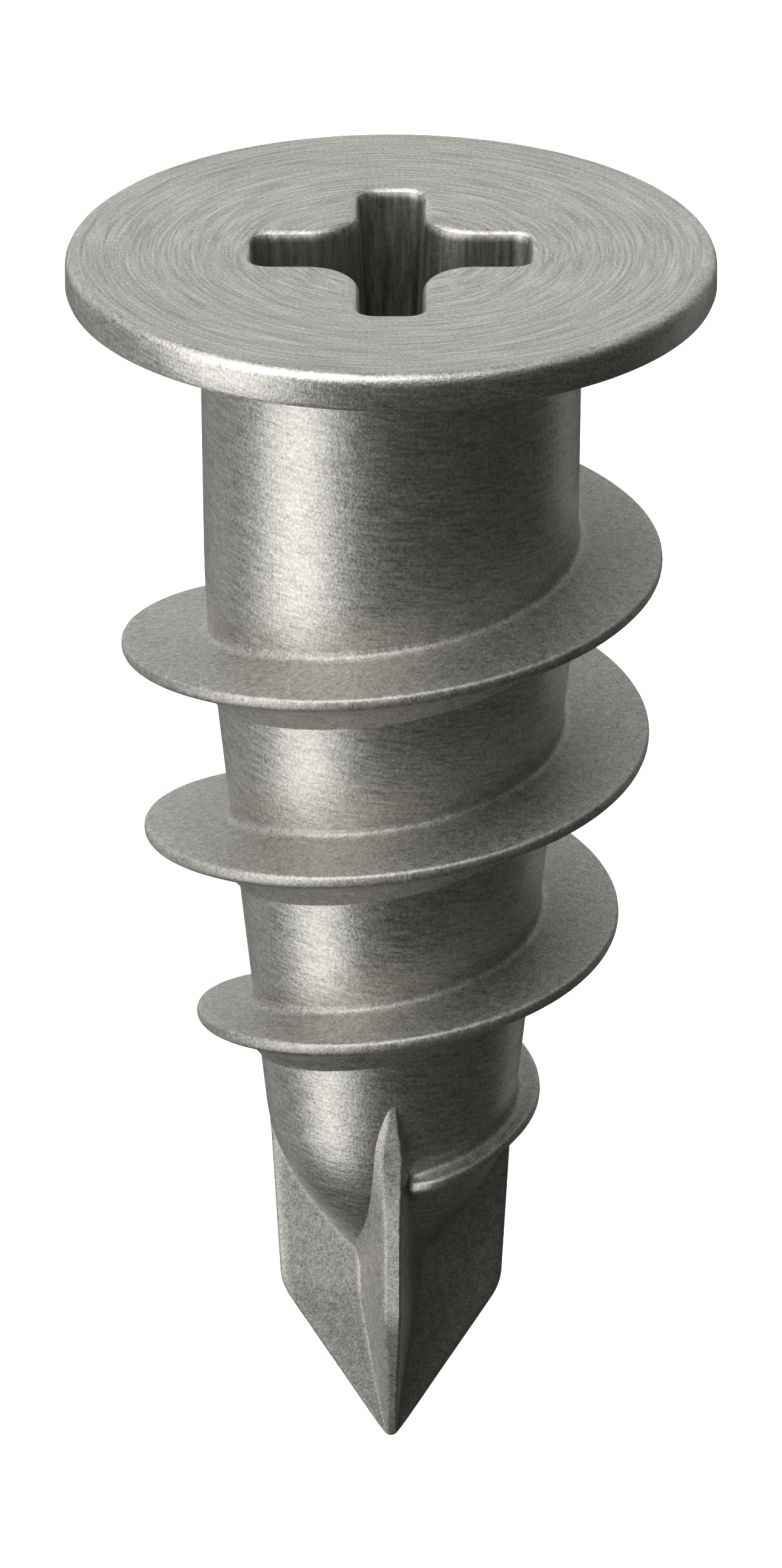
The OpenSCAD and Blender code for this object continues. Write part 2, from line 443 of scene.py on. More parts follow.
@dataclass(frozen=True)
class ZincFinish:
    """One finish of die-cast zinc, named for the metal and for how its surface was made.

    Sizes are in millimetres and colours are sRGB hex values.
    """

    name: str
    lay: Lay
    light: str
    dark: str
    roughness: float
    mark_length: float
    mark_width: float
    mark_depth: float
    mark_contrast: float
    grain_size: float
    grain_depth: float
    grain_contrast: float

    def material(self) -> bpy.types.Material:
        """Build the finish, or give it if it is already built.

        Returns:
            The material.
        """
        found = bpy.data.materials.get(self.name)
        if found:
            return found
        made = bpy.data.materials.new(self.name)
        made.use_nodes = True
        tree = made.node_tree
        tree.nodes.clear()
        place = add_node(tree, "ShaderNodeTexCoord").outputs["Object"]
        place_mm = add_node(
            tree, "ShaderNodeMapping", {"Scale": (1 / MM, 1 / MM, 1 / MM)}, {"Vector": place}
        ).outputs["Vector"]
        marks = self._marks(tree, place_mm)
        grain = self._noise(tree, place_mm, self.grain_size, detail=3.0, rough=0.7)
        cloud = self._noise(tree, place_mm, 2.4, detail=2.0, rough=0.5)
        colour = self._colour(tree, marks, grain, cloud)
        rough = self._roughness(tree, marks, grain, cloud)
        bump_marks = add_node(
            tree, "ShaderNodeBump", {"Strength": 1.0, "Distance": self.mark_depth * MM}, {"Height": marks}
        )
        bump = add_node(
            tree, "ShaderNodeBump", {"Strength": 1.0, "Distance": self.grain_depth * MM},
            {"Height": grain, "Normal": bump_marks.outputs["Normal"]},
        )
        shader = add_node(
            tree, "ShaderNodeBsdfPrincipled", {"Metallic": 1.0},
            {"Base Color": colour, "Roughness": rough, "Normal": bump.outputs["Normal"]},
        )
        add_node(tree, "ShaderNodeOutputMaterial", links={"Surface": shader.outputs["BSDF"]})
        return made

    @staticmethod
    def _noise(
        tree: bpy.types.NodeTree, vector: bpy.types.NodeSocket, size: float, detail: float, rough: float
    ) -> bpy.types.NodeSocket:
        """Add noise whose features have a size in millimetres.

        Args:
            tree: The material's node tree.
            vector: Place that the noise is read at, in millimetres.
            size: Size of a feature, in millimetres.
            detail: Number of finer layers.
            rough: Strength of each finer layer.

        Returns:
            The noise from 0 to 1.
        """
        return add_node(
            tree, "ShaderNodeTexNoise", {"Scale": 0.5 / size, "Detail": detail, "Roughness": rough},
            {"Vector": vector},
        ).outputs["Fac"]

    def _marks(self, tree: bpy.types.NodeTree, place_mm: bpy.types.NodeSocket) -> bpy.types.NodeSocket:
        """Lay the finish's marks out: noise stretched along the way that they run.

        Args:
            tree: The material's node tree.
            place_mm: Place on the object, in millimetres.

        Returns:
            The marks' height from 0 to 1.
        """
        if self.lay is Lay.GRAIN:
            return self._noise(tree, place_mm, self.mark_width, detail=2.0, rough=0.6)
        split = add_node(tree, "ShaderNodeSeparateXYZ", links={"Vector": place_mm})
        x, y, z = split.outputs["X"], split.outputs["Y"], split.outputs["Z"]
        if self.lay is Lay.RINGS:
            flat = add_node(tree, "ShaderNodeCombineXYZ", links={"X": x, "Y": y}).outputs["Vector"]
            radius = add_node(
                tree, "ShaderNodeVectorMath", {"operation": "LENGTH"}, {0: flat}
            ).outputs["Value"]
            way = add_node(
                tree, "ShaderNodeVectorMath", {"operation": "NORMALIZE"}, {0: flat}
            ).outputs["Vector"]
            spread = add_node(
                tree, "ShaderNodeVectorMath",
                {"operation": "SCALE", "Scale": 6.0 * self.mark_width / self.mark_length}, {0: way},
            ).outputs["Vector"]
            parts = add_node(tree, "ShaderNodeSeparateXYZ", links={"Vector": spread})
            vector = add_node(
                tree, "ShaderNodeCombineXYZ",
                links={"X": parts.outputs["X"], "Y": parts.outputs["Y"], "Z": radius},
            ).outputs["Vector"]
        else:
            squeeze = self.mark_width / self.mark_length
            if self.lay is Lay.ROUND_BARREL:
                slant = add_node(
                    tree, "ShaderNodeMath", {"operation": "MULTIPLY", 1: 0.5}, {0: z}
                ).outputs["Value"]
                turned = add_node(
                    tree, "ShaderNodeVectorRotate", {"rotation_type": "Z_AXIS"},
                    {"Vector": place_mm, "Angle": slant},
                ).outputs["Vector"]
                stretch = (squeeze, squeeze, 1.0)
            else:
                turned, stretch = place_mm, (1.0, 1.0, squeeze)
            vector = add_node(
                tree, "ShaderNodeMapping", {"Scale": stretch}, {"Vector": turned}
            ).outputs["Vector"]
        return self._noise(tree, vector, self.mark_width, detail=4.0, rough=0.65)

    def _colour(
        self, tree: bpy.types.NodeTree, marks: bpy.types.NodeSocket, grain: bpy.types.NodeSocket,
        cloud: bpy.types.NodeSocket,
    ) -> bpy.types.NodeSocket:
        """Mix the light and dark tones by the marks, the grain and a faint cloud.

        Args:
            tree: The material's node tree.
            marks: Height of the marks.
            grain: Height of the grain.
            cloud: Broad uneven wear.

        Returns:
            The colour.
        """
        worn = add_node(
            tree, "ShaderNodeMath", {"operation": "MULTIPLY_ADD", 1: self.mark_contrast, 2: 0.0}, {0: marks}
        ).outputs["Value"]
        worn = add_node(
            tree, "ShaderNodeMath", {"operation": "MULTIPLY_ADD", 1: self.grain_contrast},
            {0: grain, 2: worn},
        ).outputs["Value"]
        worn = add_node(
            tree, "ShaderNodeMath", {"operation": "MULTIPLY_ADD", 1: CLOUD_CONTRAST}, {0: cloud, 2: worn}
        ).outputs["Value"]
        middle = (self.mark_contrast + self.grain_contrast + CLOUD_CONTRAST) / 2
        factor = add_node(
            tree, "ShaderNodeMath", {"operation": "SUBTRACT", 1: middle - 0.5, "use_clamp": True}, {0: worn}
        ).outputs["Value"]
        mix = add_node(
            tree, "ShaderNodeMix", {"data_type": "RGBA", 6: linear(self.dark), 7: linear(self.light)},
            {0: factor},
        )
        return mix.outputs[2]

    def _roughness(
        self, tree: bpy.types.NodeTree, marks: bpy.types.NodeSocket, grain: bpy.types.NodeSocket,
        cloud: bpy.types.NodeSocket,
    ) -> bpy.types.NodeSocket:
        """Vary the gloss a little about the finish's own, with the marks, the grain and the cloud.

        Args:
            tree: The material's node tree.
            marks: Height of the marks.
            grain: Height of the grain.
            cloud: Broad uneven wear.

        Returns:
            The roughness.
        """
        smoothest = self.roughness - (MARKS_GLOSS + GRAIN_GLOSS + CLOUD_GLOSS) / 2
        varied = add_node(
            tree, "ShaderNodeMath", {"operation": "MULTIPLY_ADD", 1: MARKS_GLOSS, 2: smoothest}, {0: marks}
        ).outputs["Value"]
        varied = add_node(
            tree, "ShaderNodeMath", {"operation": "MULTIPLY_ADD", 1: GRAIN_GLOSS}, {0: grain, 2: varied}
        ).outputs["Value"]
        return add_node(
            tree, "ShaderNodeMath", {"operation": "MULTIPLY_ADD", 1: CLOUD_GLOSS}, {0: cloud, 2: varied}
        ).outputs["Value"]


# Die-cast zinc, faced on a lathe: even satin with fine broken rings.
FACED_ZINC = ZincFinish(
    name="die_cast_zinc_faced", lay=Lay.RINGS, light="#ECEAE4", dark="#989690", roughness=0.42,
    mark_length=1.0, mark_width=0.04, mark_depth=0.007, mark_contrast=1.9,
    grain_size=0.04, grain_depth=0.007, grain_contrast=1.6,
)
# Die-cast zinc, tumbled and brushed round: satin with short slanted strokes, so its highlight is streaky.
BRUSHED_ZINC = ZincFinish(
    name="die_cast_zinc_brushed", lay=Lay.ROUND_BARREL, light="#EAE8E2", dark="#9A9892", roughness=0.41,
    mark_length=0.28, mark_width=0.05, mark_depth=0.009, mark_contrast=1.3,
    grain_size=0.04, grain_depth=0.010, grain_contrast=1.8,
)
# Die-cast zinc as it leaves the die: a fine even grain that scatters light, with no direction.
GRAINED_ZINC = ZincFinish(
    name="die_cast_zinc_grained", lay=Lay.GRAIN, light="#E0DED8", dark="#8B8983", roughness=0.55,
    mark_length=0.15, mark_width=0.10, mark_depth=0.008, mark_contrast=0.8,
    grain_size=0.032, grain_depth=0.010, grain_contrast=2.0,
)
# Die-cast zinc inside the recess and the bore: upright marks where the core pin drew out and a duller gloss,
# with both tones much darker than the outside's, which paints the shade in these hollows.
DRAWN_ZINC_PAINTED_SHADE = ZincFinish(
    name="die_cast_zinc_drawn_painted_shade", lay=Lay.UPRIGHT, light="#C3C1BB", dark="#6E6C66", roughness=0.50,
    mark_length=2.0, mark_width=0.08, mark_depth=0.012, mark_contrast=1.8,
    grain_size=0.05, grain_depth=0.006, grain_contrast=0.7,
)


def dress(piece: bpy.types.Object, finish: ZincFinish) -> None:
    """Give a whole piece one finish."""
    piece.data.materials.clear()
    piece.data.materials.append(finish.material())


def dress_where(
    piece: bpy.types.Object, finish: ZincFinish, wanted: Callable[[Vector, Vector], bool]
) -> None:
    """Give the faces that pass a test a second finish.

    Args:
        piece: The finished mesh.
        finish: The finish of those faces.
        wanted: Test on a face's centre in millimetres and its normal.
    """
    piece.data.materials.append(finish.material())
    index = len(piece.data.materials) - 1
    with editing(piece):
        pick(piece, Element.FACE, wanted)
        piece.active_material_index = index
        bpy.ops.object.material_slot_assign()


# ---------------------------------------------------------------- head: flange and drive sleeve


@dataclass
class DriveRecess:
    """Tool that cuts the cross recess: the space that a cross screwdriver goes into."""

    floor: float
    wing_width_x: float = 1.54
    wing_width_y: float = 1.98
    side_reach: float = 3.38
    back_reach: float = 3.74
    front_reach: float = 4.16
    middle_y: float = 0.30
    corner_radius: float = 1.3
    wing_end_radius: float = 0.42
    mouth_radius: float = 0.28
    wall_lean: float = 0.30
    end_lean: float = 0.45
    above: float = 1.0
    below: float = 0.4

    def cutter(self) -> bpy.types.Object:
        """Model the cutter: a rounded cross that flares at the mouth and narrows to the floor.

        Returns:
            The cutter, a closed solid.
        """
        half_x = self.wing_width_x / 2 + self.mouth_radius
        half_y = self.wing_width_y / 2 + self.mouth_radius
        deselect_all()
        bpy.ops.mesh.primitive_plane_add(size=2 * half_x * MM)
        tool = name_active("recess_cutter")
        with editing(tool):
            bpy.ops.mesh.select_all(action="SELECT")
            bpy.ops.transform.resize(value=(1, half_y / half_x, 1))
            bpy.ops.transform.translate(value=(0, 0, self.above * MM))
            for axis, side, half, reach in self._wings():
                edge = half + self.mouth_radius
                pick(
                    tool, Element.EDGE,
                    lambda co, _: co[axis] * side > edge - 0.01 and abs(co[1 - axis]) < 0.01,
                )
                push = [0.0, 0.0, 0.0]
                push[axis] = side * (reach - half) * MM
                bpy.ops.mesh.extrude_region_move(TRANSFORM_OT_translate={"value": push})
            bpy.ops.mesh.select_mode(type="FACE")
            bpy.ops.mesh.select_all(action="SELECT")
            bpy.ops.mesh.dissolve_faces()
            inner = math.hypot(half_x, half_y) + 0.01
            pick(tool, Element.VERTEX, lambda co, _: math.hypot(co.x, co.y) < inner)
            self._round_corners(self.corner_radius - self.mouth_radius, 12)
            for axis, side, _, reach in self._wings():
                end = reach + self.mouth_radius
                pick(tool, Element.VERTEX, lambda co, _: co[axis] * side > end - 0.01)
                self._round_corners(self.wing_end_radius + self.mouth_radius, 6)
            self._sink(tool)
            bpy.ops.mesh.select_all(action="SELECT")
            bpy.ops.transform.translate(value=(0, self.middle_y * MM, 0))
        weld_and_face_out(tool)
        return tool

    def _wings(self) -> list[tuple[int, int, float, float]]:
        """List the four wings of the cross.

        Returns:
            For each wing its axis, its side, half the width of the crossing there, and its reach.
        """
        half_x = self.wing_width_x / 2
        half_y = self.wing_width_y / 2
        return [
            (0, -1, half_x, self.side_reach),
            (0, 1, half_x, self.side_reach),
            (1, -1, half_y, self.front_reach),
            (1, 1, half_y, self.back_reach),
        ]

    @staticmethod
    def _round_corners(radius: float, steps: int) -> None:
        """Round the selected corners of the flat outline."""
        bpy.ops.mesh.bevel(offset=radius * MM, segments=steps, affect="VERTICES", clamp_overlap=False)

    def _sink(self, tool: bpy.types.Object) -> None:
        """Sink the flat cross: straight to the face, round the mouth, then down leaning walls.

        Args:
            tool: The flat cross, in edit mode.
        """
        pick(tool, Element.FACE, lambda co, _: True)
        bpy.ops.mesh.extrude_region_move(TRANSFORM_OT_translate={"value": (0, 0, -self.above * MM)})
        steps = 6
        for i in range(steps):
            a, b = math.pi / 2 * i / steps, math.pi / 2 * (i + 1) / steps
            inwards = self.mouth_radius * (math.sin(b) - math.sin(a))
            down = self.mouth_radius * (math.cos(a) - math.cos(b))
            bpy.ops.mesh.inset(thickness=inwards * MM, depth=0, use_even_offset=True)
            bpy.ops.transform.translate(value=(0, 0, -down * MM))
        depth = -self.floor + self.below - self.mouth_radius
        bpy.ops.mesh.inset(thickness=self.wall_lean * MM, depth=0, use_even_offset=True)
        bpy.ops.transform.translate(value=(0, 0, -depth * MM))
        bottom = self.floor - self.below
        for axis, side, _, reach in self._wings():
            end = reach - self.wall_lean - self.wing_end_radius - 0.01
            pick(tool, Element.VERTEX, lambda co, _: co.z < bottom + 0.01 and co[axis] * side > end)
            push = [0.0, 0.0, 0.0]
            push[axis] = -side * self.end_lean * MM
            bpy.ops.transform.translate(value=push)


@dataclass
class HeadFlange:
    """Round flange with a rounded rim and a fillet under it, cut through by the recess."""

    form: AnchorForm
    rim_radius: float = 0.3
    rim_chamfer: float = 0.14
    fillet: float = 0.33
    recess_reach: float = 4.6
    # Faces of the mouth whose normal rises less than this get the painted shade of the recess finish.
    painted_shade_tilt: float = 0.66

    def build(self, cutter: bpy.types.Object) -> bpy.types.Object:
        """Model the flange from a disc: inset and extrude the collar, bevel the rims, cut the recess.

        Args:
            cutter: The drive recess's cutter.

        Returns:
            The flange, dressed.
        """
        form = self.form
        thickness = form.flange_thickness
        radius = form.flange_radius
        deselect_all()
        bpy.ops.mesh.primitive_cylinder_add(
            vertices=ROUND, radius=radius * MM, depth=thickness * MM, location=(0, 0, -thickness / 2 * MM)
        )
        piece = name_active("flange")
        bpy.ops.object.transform_apply(location=True, rotation=True, scale=True)
        collar = form.core_radius(form.collar_z)
        with editing(piece):
            pick(piece, Element.FACE, lambda co, normal: normal.z < -0.9)
            bpy.ops.mesh.inset(thickness=(radius - collar) * MM, depth=0)
            bpy.ops.mesh.extrude_region_move(
                TRANSFORM_OT_translate={"value": (0, 0, (form.collar_z + thickness) * MM)}
            )
            pick(
                piece, Element.EDGE,
                lambda co, _: abs(co.z + thickness) < 0.01 and math.hypot(co.x, co.y) < collar + 0.1,
            )
            bpy.ops.mesh.bevel(offset=self.fillet * MM, segments=6, clamp_overlap=False)
            pick(piece, Element.EDGE, lambda co, way: abs(co.z) < 0.01 and abs(way.z) < 1e-9)
            bpy.ops.mesh.bevel(offset=self.rim_radius * MM, segments=6, clamp_overlap=False)
            pick(
                piece, Element.EDGE,
                lambda co, _: abs(co.z + thickness) < 0.01 and math.hypot(co.x, co.y) > radius - 0.1,
            )
            bpy.ops.mesh.bevel(offset=self.rim_chamfer * MM, segments=2, clamp_overlap=False)
        cut_away(piece, cutter)
        weld_and_face_out(piece)
        dress(piece, FACED_ZINC)
        edge = radius - self.rim_radius
        dress_where(piece, BRUSHED_ZINC, lambda co, normal: math.hypot(co.x, co.y) > edge or normal.z < -0.5)
        # Painted shade: the recess walls and the steeper part of the mouth's rounding get the darker recess
        # finish.
        dress_where(
            piece, DRAWN_ZINC_PAINTED_SHADE,
            lambda co, normal: (
                math.hypot(co.x, co.y) < self.recess_reach and -0.5 < normal.z < self.painted_shade_tilt
            ),
        )
        smooth(piece)
        return piece


@dataclass
class DriveSleeve:
    """Upper barrel around the drive recess."""

    form: AnchorForm
    rings: int = 14

    def build(self, cutter: bpy.types.Object) -> bpy.types.Object:
        """Model the sleeve from a cylinder cut into rings, which narrow a little, and cut the recess.

        Args:
            cutter: The drive recess's cutter.

        Returns:
            The sleeve, dressed.
        """
        form = self.form
        top, bottom = form.collar_z, form.recess_floor
        top_radius, bottom_radius = form.core_radius(top), form.core_radius(bottom)
        deselect_all()
        bpy.ops.mesh.primitive_cylinder_add(
            vertices=ROUND, radius=top_radius * MM, depth=(top - bottom) * MM,
            location=(0, 0, (top + bottom) / 2 * MM),
        )
        piece = name_active("barrel_sleeve")
        bpy.ops.object.transform_apply(location=True, rotation=True, scale=True)
        with editing(piece):
            count = self.rings
            for i in range(1, count):
                height = top + (bottom - top) * (i / count) ** 1.5
                bpy.ops.mesh.select_all(action="SELECT")
                bpy.ops.mesh.bisect(plane_co=(0, 0, height * MM), plane_no=(0, 0, 1))
            for i in range(1, count + 1):
                height = top + (bottom - top) * (i / count) ** 1.5
                narrower = form.core_radius(height) / top_radius
                pick(piece, Element.VERTEX, lambda co, _: abs(co.z - height) < 0.002)
                bpy.ops.transform.resize(value=(narrower, narrower, 1))
        cut_away(piece, cutter)
        weld_and_face_out(piece)
        dress(piece, BRUSHED_ZINC)
        # Painted shade: the recess walls inside the sleeve get the darker recess finish.
        dress_where(piece, DRAWN_ZINC_PAINTED_SHADE, lambda co, _: math.hypot(co.x, co.y) < bottom_radius - 0.1)
        smooth(piece)
        return piece


# ---------------------------------------------------------------- body: core and nose


@dataclass
class TurnedBody:
    """Tapered core with the pilot bore, and the closed nose below it."""

    form: AnchorForm
    bore_radius: float = 1.6
    bore_stop: float = 2.3
    mouth_chamfer: float = 0.2
    step: float = 0.5
    fine_step: float = 0.1

    def build_core(self) -> bpy.types.Object:
        """Turn the core: its outside, then the blind bore with a drill cone at its end.

        Returns:
            The core, dressed.
        """
        form = self.form
        bore_end = form.core_end + self.bore_stop
        soft = form.core_end + form.nose_soft
        outside = self._outside(form.recess_floor, soft, self.step)[:-1]
        outside += self._outside(soft, form.core_end, self.fine_step)
        bore = [
            (0, form.core_end),
            *reversed(outside),
            (self.bore_radius + self.mouth_chamfer, form.recess_floor),
            (self.bore_radius, form.recess_floor - self.mouth_chamfer),
            (self.bore_radius, bore_end),
            (0, bore_end - self.bore_radius / 2),
        ]
        piece = turn_on_lathe("tapered_core", bore)
        dress(piece, BRUSHED_ZINC)
        # Painted shade: the bore gets the darker recess finish.
        dress_where(piece, DRAWN_ZINC_PAINTED_SHADE, lambda co, _: math.hypot(co.x, co.y) < self.bore_radius + 0.01)
        smooth(piece)
        return piece

    def build_nose(self) -> bpy.types.Object:
        """Turn the nose: the soft shoulder below the core, and the cone down to its apex.

        Returns:
            The nose, dressed.
        """
        form = self.form
        low = form.core_end
        while form.core_radius(low) > 0.05:
            low -= self.fine_step
        outside = self._outside(form.core_end, low, self.fine_step)
        piece = turn_on_lathe("nose_cone_closed", [(0, form.core_end), *outside, (0, low - self.fine_step)])
        dress(piece, BRUSHED_ZINC)
        smooth(piece)
        return piece

    def _outside(self, top: float, bottom: float, step: float) -> list[tuple[float, float]]:
        """List points down the outside between two heights.

        Args:
            top: Upper height.
            bottom: Lower height.
            step: Largest distance between points.

        Returns:
            Radius and height of each point, from the top down.
        """
        count = math.ceil((top - bottom) / step)
        heights = [top + (bottom - top) * i / count for i in range(count + 1)]
        return [(self.form.core_radius(z), z) for z in heights]


# ---------------------------------------------------------------- thread


@dataclass
class ThreadFlight:
    """Deep single-start right-hand flight, which rises out of the barrel and fades at the blades."""

    form: AnchorForm
    pitch: float = 4.9
    height: float = 2.17
    lip: float = 0.3
    upper_slope: float = 5.0
    lower_slope: float = 26.0
    start_z: float = -6.1
    stop_rise: float = 0.15
    rise_turns: float = 0.36
    fade_turns: float = 1.65
    fade_power: float = 1.75
    end_height: float = 0.12
    end_swell: float = 0.42
    swell_length: float = 1.5
    end_x: float = 0.40
    end_round: float = 0.8
    upper_fillet: float = 0.28
    lower_fillet: float = 0.38
    root_step: float = 0.26
    under_skin: float = 0.35
    feather: float = 0.012
    steps: int = 128

    @property
    def turns(self) -> float:
        """Number of turns from the start to the stop."""
        return (self.start_z - self.form.core_end - self.stop_rise) / self.pitch

    @property
    def stop_angle(self) -> float:
        """Angle about the axis at which the flight stops, beside the front blade, in radians."""
        return -math.pi / 2 + math.asin(self.end_x / self.form.core_end_radius)

    def height_at(self, turn: float) -> float:
        """Give the flight's height above the core.

        Args:
            turn: Turns from the start.

        Returns:
            Height, a little below the core's surface at the very ends.
        """
        rise = self.height * turn / self.rise_turns
        fade = max(0.0, (turn - self.turns + self.fade_turns) / self.fade_turns)
        full = min(
            smooth_min(rise, self.height, 0.4),
            self.end_height + (self.height - self.end_height) * (1 - fade ** self.fade_power),
        )
        left = (self.turns - turn) * TURN * self.form.core_end_radius
        full += self.end_swell * ease(1 - left / (2 * self.swell_length))
        if left < self.end_round:
            away = 1 - left / self.end_round
            full *= math.sqrt(max(0.0, 1 - away * away))
        return full - 0.04 * (1 - ease(full / 0.3))

    def section(self, turn: float) -> list[tuple[float, float]]:
        """Draw the flight's section: upper fillet, upper face, rounded lip, lower face, lower fillet.

        Args:
            turn: Turns from the start.

        Returns:
            Radius and height of each point, from inside the core at the top to inside it at the bottom.
        """
        core = self.form.core_radius
        z = self.start_z - self.pitch * turn
        height = self.height_at(turn)
        fade = ease(height / 0.8)
        half = self.lip / 2 * (0.75 + 0.25 * fade)
        up = math.tan(math.radians(self.upper_slope))
        down = math.tan(math.radians(self.lower_slope))
        lip_r = core(z) + height
        upper_z, lower_z = z + half + height * up, z - half - height * down
        small = max(height, 0.05)
        upper_f, lower_f = min(self.upper_fillet, small * 0.8), min(self.lower_fillet, small * 1.3)
        upper_in, lower_in = upper_z + upper_f, lower_z - lower_f
        nib = min(0.13, small * 0.5)
        skin = self.feather
        points = [(core(upper_in) - self.under_skin, upper_in), (core(upper_in) - skin, upper_in)]
        points += curve_through(
            (core(upper_in - 0.02) - skin / 2, upper_in - 0.02), (core(upper_z), upper_z),
            (core(upper_z) + upper_f, upper_z - upper_f * up), 7,
        )
        face_start, face_end = core(upper_z) + upper_f, lip_r - nib
        for share in (0.33, 0.66):
            r = face_start + (face_end - face_start) * share
            points.append((r, z + half + (lip_r - r) * up))
        points += curve_through(
            (face_end, z + half + nib * up), (lip_r, z + half), (lip_r, z + half * 0.1), 4
        )
        points += curve_through(
            (lip_r, z - half * 0.1), (lip_r, z - half), (lip_r - nib, z - half - nib * down), 4
        )
        face_start = core(lower_z) + lower_f
        for share in (0.66, 0.33):
            r = face_start + (face_end - face_start) * share
            points.append((r, z - half - (lip_r - r) * down))
        points += curve_through(
            (face_start, lower_z + lower_f * down), (core(lower_z) + min(self.root_step, small / 2), lower_z),
            (core(lower_in + 0.02) - skin / 2, lower_in + 0.02), 8,
        )
        points += [(core(lower_in) - skin, lower_in), (core(lower_in) - self.under_skin, lower_in)]
        return points

    def build(self) -> bpy.types.Object:
        """Screw the full section round the axis, then fit every section to the tapering core.

        Returns:
            The flight, dressed.
        """
        outline = self.section(self.turns / 2)
        piece = draw_profile("thread", outline, closed=True)
        sweeps = math.ceil(self.steps * self.turns)
        apply_modifier(
            piece, "SCREW", angle=-self.turns * TURN, screw_offset=-self.turns * self.pitch * MM,
            steps=sweeps, render_steps=sweeps, use_smooth_shade=True, use_merge_vertices=False,
        )
        self._fit(piece, sweeps, len(outline))
        with editing(piece):
            bpy.ops.mesh.select_mode(type="EDGE")
            bpy.ops.mesh.select_all(action="DESELECT")
            bpy.ops.mesh.select_non_manifold()
            bpy.ops.mesh.edge_face_add()
        weld_and_face_out(piece)
        dress(piece, GRAINED_ZINC)
        smooth(piece, 75.0)
        return piece

    def _fit(self, piece: bpy.types.Object, sweeps: int, count: int) -> None:
        """Move each section's vertices on to the tapering core, with the flight's height there.

        Args:
            piece: The screwed section.
            sweeps: Number of steps that it was screwed in.
            count: Number of vertices in a section.
        """
        vertices = piece.data.vertices
        for i in range(sweeps + 1):
            turn = self.turns * i / sweeps
            angle = self.stop_angle + TURN * (self.turns - turn)
            ring = self.section(turn)
            for k in range(count):
                radius, height = ring[k]
                place = (radius * math.cos(angle), radius * math.sin(angle), height)
                vertices[i * count + k].co = Vector(place) * MM
        piece.data.update()


# ---------------------------------------------------------------- drill end


@dataclass
class BladePair:
    """Sizes of one opposite pair of drill blades."""

    top_z: float
    top_radius: float
    fade: float
    spear: float
    widening: float
    root_fillet: float
    relief: float
    trailing_round: float
    leading_round: float


